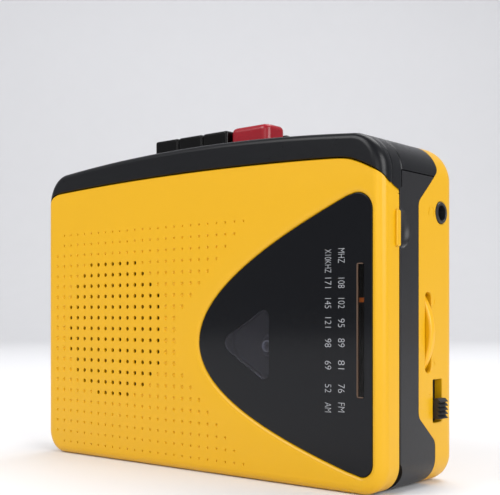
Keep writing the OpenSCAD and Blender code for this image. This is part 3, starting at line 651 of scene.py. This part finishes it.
def window():
    """Smoked panel with its clear corner and the dial slot, which has a thin edge on three sides."""
    plate = slab("smoked_window", grown(PANEL, -0.08), PANEL_FRONT, PANEL_BACK, 0.22)
    dial = round_rect(DIAL_LOW, DIAL_HIGH, 0.5)
    bevel = 0.12
    carve(plate, loft("dial_slot", [ring(dial, OUT, -bevel), ring(dial, PANEL_FRONT, -bevel),
                                    ring(dial, PANEL_FRONT + bevel), ring(dial, FAR)]))
    carve(plate, slab("lens_slot", LENS, OUT, FAR))
    dress(plate, "door", "smoked_panel", "window_panel")

    lens = slab("clear_corner", grown(LENS, -0.02), PANEL_FRONT + 0.03, PANEL_BACK - 0.1, 0.1)
    dress(lens, "door", "clear_lens", "cassette_lens")
    strip = slab("dial_strip", grown(dial, -0.04), PANEL_FRONT + 0.25, PANEL_BACK - 0.3, 0.05)
    dress(strip, "door", "clear_lens", "dial_lens", material=DIAL_CLEAR)

    left_edge, end_edge = 0.22, 0.2
    rim = slab("dial_rim", dial, PANEL_FRONT + 0.02, PANEL_BACK - 0.05)
    carve(rim, block("rim_hole", (DIAL_LOW[0] + left_edge, OUT, DIAL_LOW[1] + end_edge),
                     (DIAL_HIGH[0] + 1, FAR, DIAL_HIGH[1] - end_edge)))
    dress(rim, "door", "brass", material=DIAL_EDGE)


def lettering(text, x, z, length):
    """Printed text lying on its side: it reads downwards and its top is to the right."""
    curve = bpy.data.curves.new("text", "FONT")
    curve.body = text
    curve.align_x = "CENTER"
    curve.extrude = 0.01      # the text is thin here, and gets its height and relief below
    curve.offset = -0.02
    raw = bpy.data.objects.new("text", curve)
    bpy.context.collection.objects.link(raw)
    graph = bpy.context.evaluated_depsgraph_get()
    mesh = bpy.data.meshes.new_from_object(raw.evaluated_get(graph))
    bpy.data.objects.remove(raw)
    us = [v.co.x for v in mesh.vertices]
    vs = [v.co.y for v in mesh.vertices]
    wide, middle = max(us) - min(us), (max(us) + min(us)) / 2
    tall, lowest = max(vs) - min(vs), min(vs)
    for v in mesh.vertices:
        along = (v.co.x - middle) / wide * length
        up = (v.co.y - lowest) / tall * TEXT_HEIGHT
        lift = TEXT_RELIEF if v.co.z > 0 else 0.0
        v.co = Vector((x + up, PANEL_FRONT + FRONT - lift, z - along)) * MM
    obj = bpy.data.objects.new("text", mesh)
    bpy.context.collection.objects.link(obj)
    return obj


def dial_print():
    """Two columns of dial marks, each with the height of its middle."""
    lengths = {"MHZ": 3.3, "X10KHZ": 5.4, "FM": 2.1, "AM": 2.2}
    two_digits, three_digits = 1.95, 2.3
    fm_x, am_x = 46.5, 42.8
    fm = [("MHZ", 53.9), ("108", 47.7), ("102", 43.1), ("95", 38.6), ("89", 34.1), ("81", 29.1),
          ("76", 23.7), ("FM", 19.4)]
    am = [("X10KHZ", 52.8), ("171", 47.8), ("145", 43.1), ("121", 38.7), ("98", 34.0), ("69", 28.9),
          ("52", 23.6), ("AM", 19.2)]
    printed = []
    for x, column in ((fm_x, fm), (am_x, am)):
        for text, z in column:
            length = lengths.get(text, two_digits if len(text) == 2 else three_digits)
            printed.append(lettering(text, x, z, length))
    dress(merge("dial_print", printed), "door", "grey_hub", material=INK)


# ---- Case ----


def bezel():
    """Black bezel over the door: a rolled crest, a shallow groove and a second band."""
    crest_back = 3.3
    groove = [(3.4, 0), (3.6, 0.05), (3.8, 0.14), (4.0, 0.05), (4.2, 0), (4.3, 0)]
    band = [(7.4, 0), (7.5, 0), (7.8, 0.06), (BEZEL_BACK, 0.2)]
    body = loft("bezel", soft_front(crest_back) + [ring(CASE, w, inset) for w, inset in groove + band])
    carve(body, door_room(DOOR_GAP, 0.2), interior(WALL, FAR))
    carve(body, wide_block("below", (OUT, OUT), (FAR, BEZEL_TIPS)))
    carve(body, wide_block("beside_frame", (FRAME_FRONT - 0.05, OUT), (FAR, BEZEL_LOW)))
    dress(body, "case", "black_cover", "top_bezel")


def cover():
    """Black top with the key bay, the volume wheel's slot and the guard rib."""
    profile = [(BEZEL_BACK, 0.3), (BEZEL_BACK + 0.2, 0.1), (BEZEL_BACK + 0.5, 0), (BEZEL_BACK + 0.6, 0),
               (BODY_D, 0)]
    body = loft("cover", [ring(CASE, w, inset) for w, inset in profile])
    carve(body, interior(0, FAR), behind_split())
    carve(body, wide_block("below", (OUT, OUT), (FAR, SEAM_Z + SEAM)))

    first_low, first_high = node_box("stop_key")
    last_low, last_high = node_box("record_key")
    gap = 0.3
    carve(body, block("key_bay", (first_low[0] - gap, first_low[1] - gap, SEAM_Z),
                      (last_high[0] + gap, last_high[1] + gap, FAR), 0.02))
    wheel = node_box("volume_wheel")[0]
    slot_right = 51.6
    carve(body, block("wheel_slot", (wheel[0] - 0.6, wheel[1] - 0.5, SEAM_Z - 2),
                      (slot_right, wheel[1] + 2.8, FAR), 0.02))

    rib_low, rib_high = (first_low[0], BODY_H - 2.2), (last_high[0] + 0.4, node_box("top_cover")[1][2])
    rib = round_rect(rib_low, rib_high, 1.6)
    carve(body, slab("rib", rib, first_high[1] + 0.7, first_high[1] + 2.2, 0.5, 0.5), how="UNION")
    dress(body, "case", "black_cover", "top_cover")


def middle():
    """Charcoal frame with the deck of the cassette well, its side walls and the hinge ears."""
    well_left, well_right, well_high = -54.3, 48.1, 67.4
    side_t = 1.2
    deck_front, deck_back = DECK
    profile = [(FRAME_FRONT, 0.3), (FRAME_FRONT + 0.1, 0.1), (FRAME_FRONT + 0.3, 0), (FRAME_FRONT + 0.4, 0),
               (BODY_D, 0)]
    body = loft("frame", [ring(CASE, w, inset) for w, inset in profile])
    carve(body, interior(0, FAR), behind_split())
    carve(body, wide_block("above", (OUT, SEAM_Z - SEAM), (FAR, FAR)))

    deck = loft("deck", [ring(CASE, w, WALL - 0.01) for w in DECK])
    gate_low, gate_high = (-38, 0, 49), (26, FAR, FAR)
    carve(deck, block("right", (well_right + side_t, 0, OUT), (REACH, FAR, FAR)),
          block("gate", gate_low, gate_high), wide_block("top", (0, SEAM_Z), (FAR, FAR)))
    carve(deck, block("volume", (VOLUME[0] - 8.8, 0, well_high - 1.2), (REACH, FAR, FAR)))
    for spindle in ("take_up_spindle", "supply_spindle"):
        bore = [(5.3, 0), (5.1, deck_front), (4.6, deck_front + 0.5), (4.6, BODY_D)]
        carve(deck, turned("hole", middle_of(*node_box(spindle)), bore))
    carve(deck, turned("tuning", TUNING, [(10.8, 10), (10.8, BODY_D)]))
    carve(body, deck, how="UNION")
    walls = [block("wall", (x, FRAME_FRONT, WALL - 0.5), (x + side_t, deck_back, high))
             for x, high in ((well_left - side_t, well_high), (well_right, well_high - 2))]
    carve(body, *walls, how="UNION")

    door_swing_r = 5.5
    carve(body, slab("door_swing", circle(HINGE, HINGE, door_swing_r, 96), -REACH, REACH, view="side"))
    carve(body, wide_block("bezel_sides", (OUT, BEZEL_LOW), (BEZEL_BACK, FAR)))
    bay_low, bay_high = (-56.7, 16.7, WALL), (well_right + 1.3, BODY_D, WALL + 15)
    carve(body, block("battery_bay", bay_low, bay_high))
    scoop = [(1.5, HALF_W - 1.3), (3.2, HALF_W - 1.0), (4.2, HALF_W - 0.4), (4.5, HALF_W),
             (4.6, HALF_W + 1)]
    scoop_z = 59.9
    carve(body, turned("scoop", (FRAME_FRONT, scoop_z), scoop, view="side"))
    carve(body, block("bay_front", (bay_low[0] + 0.6, bay_low[1] - 0.7, WALL - 0.5),
                      (bay_high[0] - 0.1, bay_low[1], bay_high[2])), how="UNION")

    boss_r, boss_bore, boss_back = 2.4, 0.95, 26
    for at in SCREWS:
        boss = turned("boss", at, [(boss_r, deck_front + 0.1), (boss_r, boss_back)], sides=32)
        carve(body, boss, how="UNION")
        carve(body, turned("boss_hole", at, [(boss_bore, deck_back + 0.6), (boss_bore, FAR)], sides=24))

    ear_low, ear_high, ear_r, pin_r = 52.4, 54.6, 1.9, 1.0
    for side in (-1, 1):
        low, high = sorted((side * ear_low, side * ear_high))
        arm = [(HINGE, HINGE - 1.3), (FRAME_FRONT + 2, HINGE - 1.3), (FRAME_FRONT + 2, HINGE + ear_r),
               (HINGE, HINGE + ear_r)]
        ear = slab("ear", circle(HINGE, HINGE, ear_r), low, high, view="side")
        carve(ear, slab("arm", polygon(arm), low, high, view="side"), how="UNION")
        carve(ear, slab("pin", circle(HINGE, HINGE, pin_r, 24), low - 1, high + 1, view="side"))
        carve(body, ear, how="UNION")
    dress(body, "case", "charcoal_frame", "middle_frame")


def slot_tool(name, outline, chamfer):
    """A cutter through the right side of the case, wider at the surface."""
    return loft(name, [ring(outline, HALF_W - 5), ring(outline, HALF_W - chamfer),
                       ring(outline, HALF_W, -chamfer), ring(outline, HALF_W + 2, -chamfer)], "side")


def back():
    """Yellow rear cover with the openings of its right side, the battery bay and the screw holes."""
    body = slab("back", CASE, 10, BODY_D, 0, EDGE_REAR)
    carve(body, interior(0, REAR_INSIDE), ahead_of_split())
    bosses = [turned("boss", s, [(3, 26), (3, REAR_INSIDE + 0.5)], sides=32) for s in SCREWS]
    carve(body, *bosses, how="UNION")

    wheel_front, wheel_back, wheel_half = 18.4, 21.4, 9.5
    wheel_z = TUNING[1]
    slot = round_rect((wheel_front, wheel_z - wheel_half), (wheel_back, wheel_z + wheel_half), 1.45)
    carve(body, slot_tool("wheel_slot", slot, 0.2))
    carve(body, turned("wheel_room", TUNING, [(16.4, wheel_front), (16.4, wheel_back)], sides=120))
    carve(body, slot_tool("switch_slot", round_rect((22, 14.9), (26.4, 25.1), 0.4), 0.15))
    jack = [(2.7, HALF_W - 5), (2.7, HALF_W - 0.2), (2.9, HALF_W), (2.9, HALF_W + 1)]
    carve(body, turned("jack_hole", JACK, jack, "side"))

    hatch_low, hatch_high = node_box("battery_hatch")
    gap, chamfer = 0.25, 0.2
    bay = round_rect((hatch_low[0] - gap, hatch_low[2]), (hatch_high[0] + gap, hatch_high[2] + gap), 0.4)
    carve(body, loft("hatch_bay", [ring(bay, REAR_INSIDE - 1), ring(bay, BODY_D - chamfer),
                                   ring(bay, BODY_D, -chamfer), ring(bay, FAR, -chamfer)]))
    for x in (hatch_low[0] - 1.75, hatch_high[0] - 0.25):
        carve(body, slab("pivot", circle(*PIVOT, 0.7, 24), x, x + 2, view="side"))

    low, high = node_box("microphone")
    port_at = ((low[1] + high[1]) / 2, (low[2] + high[2]) / 2)
    port_r = 0.6
    carve(body, turned("port", port_at, [(port_r, -HALF_W - 1), (port_r, WALL + 1 - HALF_W)], "side", 24))

    hole_r, head_r = 1.3, 2.6
    mouth_r = head_r + chamfer
    recess = [(head_r, BODY_D - 1.4), (head_r, BODY_D - chamfer), (mouth_r, BODY_D), (mouth_r, BODY_D + 1)]
    for at in SCREWS:
        carve(body, turned("hole", at, [(hole_r, 25), (hole_r, FAR)], sides=32))
        carve(body, turned("recess", at, recess, sides=40))
    dress(body, "case", "yellow_shell", "rear_cover")


def hatch():
    """Battery door: rounded pivot edge and finger ridges."""
    low, high = node_box("battery_hatch")
    bottom = [(PIVOT[0] + math.cos(a), PIVOT[1] + math.sin(a))
              for a in [math.radians(d) for d in range(180, 361, 15)]]
    side = bottom + [(high[1], high[2] - 0.4), (high[1] - 0.4, high[2]), (PIVOT[0] - 0.9, high[2])]
    lid = slab("battery_door", polygon(side), low[0], high[0], 0.2, 0.2, view="side")
    for x in (low[0] - 0.75, high[0] - 2.35):
        carve(lid, slab("bore", circle(*PIVOT, 0.75, 24), x, x + 3.1, view="side"))
    middle_x, groove_half, groove_step = (low[0] + high[0]) / 2, 9, 1.5
    grooves = [slab("groove", circle(high[1] + 0.25, high[2] - 2.2 - groove_step * i, 0.6, 24),
                    middle_x - groove_half, middle_x + groove_half, view="side") for i in range(4)]
    carve(lid, merge("grooves", grooves))
    dress(lid, "hatch", "yellow_shell", "battery_hatch")


def screws():
    """Four case screws with domed cross heads."""
    shank_r, head_r, cross_half, cross_w = 0.9, 2.3, 1.5, 0.25
    shank = [(shank_r, 19.1), (shank_r, BODY_D - 1.4)]
    dome = [(head_r, BODY_D - 1.39), (head_r, BODY_D - 0.8), (2.1, BODY_D - 0.5), (1.6, BODY_D - 0.34),
            (0.8, BODY_D - 0.3)]
    heads = []
    for x, z in SCREWS:
        head = turned("head", (x, z), shank + dome, sides=36)
        cross = [block("bar", (x - a, BODY_D - 0.9, z - b), (x + a, BODY_D, z + b))
                 for a, b in ((cross_half, cross_w), (cross_w, cross_half))]
        heads.append(carve(head, *cross))
    dress(merge("screws", heads), "case", "polished_steel", "case_screws")


# ---- Keys and controls ----


def keys():
    """Key caps with soft tops, each on its blade."""
    cap_low, blade_top = 82, 82.5
    blade_front, blade_back, blade_half = 11.2, 13.2, 1.2
    for body, slot, soft, corner, blade_at in (("stop", "black_key", 0.6, 0.9, None),
                                               ("fast_forward", "black_key", 0.6, 0.9, 2.9),
                                               ("play", "black_key", 0.6, 0.9, None),
                                               ("record", "red_key", 1.3, 2.2, 3.2)):
        node = body + "_key"
        low, high = node_box(node)
        top = round_rect(low[:2], high[:2], corner)
        cap = slab(node + "_cap", top, cap_low, high[2], 0, soft, view="top")
        blade_x = low[0] + blade_at if blade_at else (low[0] + high[0]) / 2
        blade = block("blade", (blade_x - blade_half, blade_front, low[2]),
                      (blade_x + blade_half, blade_back, blade_top))
        carve(cap, blade, how="UNION")
        dress(cap, body, slot, node)


def ribbed(centre, r, ribs, depth):
    """A round outline with fine notches."""
    corners = []
    for i in range(ribs):
        for part, drop in ((-0.3, 0), (0.3, 0), (0.5, depth)):
            turn = math.tau * (i + part) / ribs
            reach = r - drop
            corners.append((centre[0] + reach * math.cos(turn), centre[1] + reach * math.sin(turn)))
    return polygon(corners)


def wheels():
    """Tuning wheel with a rounded rim and the toothed ring, and the ribbed volume wheel."""
    low, high = node_box("tuning_wheel")
    front, rear = TUNING_WHEEL
    rim = slab("tuning", circle(*TUNING, (high[0] - low[0]) / 2, 160), front, rear, 0.7, 0.7)
    shaft = turned("shaft", TUNING, [(SHAFT_R, rear - 0.5), (SHAFT_R, high[1])], sides=32)
    carve(rim, shaft, how="UNION")
    teeth = []
    count, root_r, tip_r = 23, 8.1, 9.9
    for i in range(count):
        for part, r in ((0.18, root_r), (0.4, tip_r), (0.6, tip_r), (0.82, root_r)):
            turn = math.tau * (i + part) / count
            teeth.append((TUNING[0] + r * math.cos(turn), TUNING[1] + r * math.sin(turn)))
    carve(rim, slab("teeth", polygon(teeth), low[1], front + 0.2), how="UNION")
    dress(rim, "tuning", "yellow_wheel", "tuning_wheel")

    low, high = node_box("volume_wheel")
    thick = 2.3
    outline = ribbed(VOLUME, (high[2] - low[2]) / 2, 40, 0.3)
    disc = slab("volume", outline, low[1], low[1] + thick, 0.2, 0.2)
    shaft = turned("shaft", VOLUME, [(SHAFT_R, low[1] + 2), (SHAFT_R, high[1])], sides=32)
    carve(disc, shaft, how="UNION")
    dress(disc, "volume", "black_knob", "volume_wheel")


def knob():
    """Sliding function knob with saw-tooth ribs, narrower inside the slot."""
    low, high = node_box("function_knob")
    left, right, bottom, top = low[0], high[0], low[2], high[2]
    ribs, tooth, shoulder = 5, 0.8, 0.6
    step = (top - bottom) / ribs
    corners = [(left, top - shoulder), (left, bottom + shoulder), (HALF_W, bottom + shoulder),
               (HALF_W, bottom), (right - tooth, bottom)]
    for i in range(ribs):
        corners += [(right, bottom + step * (i + 0.15)), (right - tooth, bottom + step * (i + 1))]
    corners += [(HALF_W, top), (HALF_W, top - shoulder)]
    body = slab("knob", polygon(corners), low[1], high[1], 0.12, 0.12)
    dress(body, "function", "black_knob", "function_knob")


def jack():
    """Headphone socket: a round collar with its bore, on a square housing."""
    low, high = node_box("headphone_jack")
    face, housing_right, bore_end, bore_r = high[0], HALF_W - 2.1, 46.8, 1.8
    collar = [(2.6, housing_right), (2.6, face - 0.3), (2.45, face - 0.08), (2.2, face)]
    bore = [(2.0, face), (1.85, face - 0.15), (bore_r, face - 0.5), (bore_r, bore_end)]
    socket = turned("jack_socket", JACK, collar + bore, "side")
    housing = block("jack_case", (low[0], low[1], JACK[1] - 3), (housing_right, high[1], JACK[1] + 3), 0.3)
    carve(housing, slab("bore", circle(*JACK, bore_r, 64), bore_end, FAR, view="side"))
    dress(merge("jack", [housing, socket]), "case", "black_knob", "headphone_jack")


def spindles():
    """Reel hubs: a thin tube for a tip, three drive ribs, shaft and driven disc."""
    hub_r, hub_back, shaft_r, disc_t = 3.1, 16.4, 1.2, 2
    rib_front, rib_back = 11.2, 15.6
    rib_shape = ((2.6, -0.55), (4.3, -0.4), (4.3, 0.4), (2.6, 0.55))
    for node, body in (("take_up_spindle", "take_up"), ("supply_spindle", "supply")):
        low, high = node_box(node)
        centre = middle_of(low, high)
        disc_r = (high[0] - low[0]) / 2
        tip, rear = low[1], high[1]
        socket = [(1.1, tip + 1.4), (1.1, tip + 0.5), (1.5, tip + 0.5), (1.5, tip + 1.05)]
        cone = [(2.5, tip + 1.15), (hub_r, tip + 1.8), (hub_r, hub_back)]
        driven = [(shaft_r, hub_back), (shaft_r, rear - disc_t), (disc_r, rear - disc_t), (disc_r, rear)]
        hub = turned("hub", centre, socket + cone + driven, sides=48)
        for i in range(3):
            turn = math.tau * (i / 3) + math.pi
            along = (math.cos(turn), math.sin(turn))
            corners = [(centre[0] + a * along[0] - b * along[1], centre[1] + a * along[1] + b * along[0])
                       for a, b in rib_shape]
            carve(hub, slab("rib", polygon(corners), rib_front, rib_back, 0.15), how="UNION")
        dress(hub, body, "grey_hub", node)

        tube = turned("tube", centre, [(1.12, tip + 0.6), (1.12, tip + 0.08), (1.2, tip), (1.42, tip),
                                       (1.5, tip + 0.1), (1.5, tip + 0.6)], sides=40)
        spline = block("spline", (centre[0] - 1.2, tip + 0.05, centre[1] - 0.13),
                       (centre[0] - 0.1, tip + 0.6, centre[1] + 0.13))
        # The tip's near-white finish holds a painted highlight of its rim in place of a reflective steel one
        dress(merge(body + "_tip", [tube, spline]), body, "polished_steel", material=HUB_TIP_WITH_PAINTED_HIGHLIGHT)


def marks():
    """Raised marks on the right side: headphones, tuning arrows and switch positions."""
    raised = []
    low, high = HALF_W - 0.1, HALF_W + 0.07
    phones, band_r, band_t = (21.4, JACK[1]), 1.3, 0.25
    band = arcs((*phones, band_r, 0, 180))
    band_line = [p[:2] for p in band] + [p[:2] for p in reversed(grown(band, -band_t))]
    raised.append(slab("band", polygon(band_line), low, high, view="side"))
    for side in (-1, 1):
        cup_at = phones[0] + side * 1.15
        cup = round_rect((cup_at - 0.3, phones[1] - 1.1), (cup_at + 0.3, phones[1] + 0.1), 0.2)
        raised.append(slab("cup", cup, low, high, view="side"))
    for z, way in ((43, 1), (29.6, -1)):
        point, base = (22.9, z + way * 1.1), [(22.4, z), (23.4, z)]
        raised.append(slab("arrow", polygon([point] + base[::way]), low, high, view="side"))
    for z in (17.4, 21.8):
        raised.append(slab("dot", circle(20.6, z, 0.22, 16), low, high, view="side"))
    dress(merge("side_marks", raised), "case", "yellow_shell")


door()
window()
dial_print()
bezel()
cover()
middle()
back()
hatch()
screws()
keys()
wheels()
knob()
jack()
spindles()
marks()


# ---- Stage, light and camera ----


def stage():
    """A pale floor that curves up into a wall behind the object; in metres, square to the camera."""
    turn = math.radians(CAMERA_TURN)
    away = Vector((-math.sin(turn), math.cos(turn), 0))
    across = Vector((math.cos(turn), math.sin(turn), 0))
    near, far, bend, height, half = -3.0, 1.2, 0.6, 3.0, 3
    sink = 0.0001     # keeps the floor just under the object
    line = [(near, 0.0)]
    for i in range(11):
        a = math.radians(9 * i)
        line.append((far + bend * math.sin(a), bend * (1 - math.cos(a))))
    line.append((far + bend, height))
    points = [away * run + across * side + Vector((0, 0, up - sink)) for run, up in line
              for side in (-half, half)]
    faces = [(2 * i, 2 * i + 1, 2 * i + 3, 2 * i + 2) for i in range(len(line) - 1)]
    mesh = bpy.data.meshes.new("floor")
    mesh.from_pydata(points, [], faces)
    mesh.shade_smooth()
    pale = finish("floor", srgb(232, 232, 234), rough=0.7, vary=0.01, bump=0.0, specular=0.2)
    mesh.materials.append(pale)
    floor = bpy.data.objects.new("floor", mesh)
    bpy.context.collection.objects.link(floor)


def lamp(name, place, size, watts):
    """A soft square light aimed at the middle of the case; place and size in metres."""
    light = bpy.data.lights.new(name, "AREA")
    light.size = size
    light.energy = watts
    obj = bpy.data.objects.new(name, light)
    obj.location = place
    aim = Vector(LAMPS_AIM) - Vector(place)
    obj.rotation_euler = aim.to_track_quat("-Z", "Y").to_euler()
    bpy.context.collection.objects.link(obj)


stage()
lamp("key", (-0.5, -1.1, 1.0), 0.9, 12.5)
lamp("low", (0.5, -1.2, 0.2), 0.8, 3)
lamp("right", (1.3, -0.25, 0.55), 0.8, 12)
lamp("top", (0.1, 0.5, 1.4), 1.0, 14)

world = bpy.data.worlds.new("studio")
world.use_nodes = True
world.node_tree.nodes["Background"].inputs["Color"].default_value = srgb(235, 236, 240)
world.node_tree.nodes["Background"].inputs["Strength"].default_value = 0.45
bpy.context.scene.world = world
bpy.context.scene.view_settings.view_transform = "Standard"

lens = bpy.data.cameras.new("camera")
lens.sensor_width = SENSOR
lens.lens = FOCAL_LENGTH
lens.shift_y = SHIFT_UP
camera = bpy.data.objects.new("camera", lens)
camera.location = CAMERA_AT
camera.rotation_euler = (math.radians(90), 0, math.radians(CAMERA_TURN))
bpy.context.collection.objects.link(camera)
bpy.context.scene.camera = camera
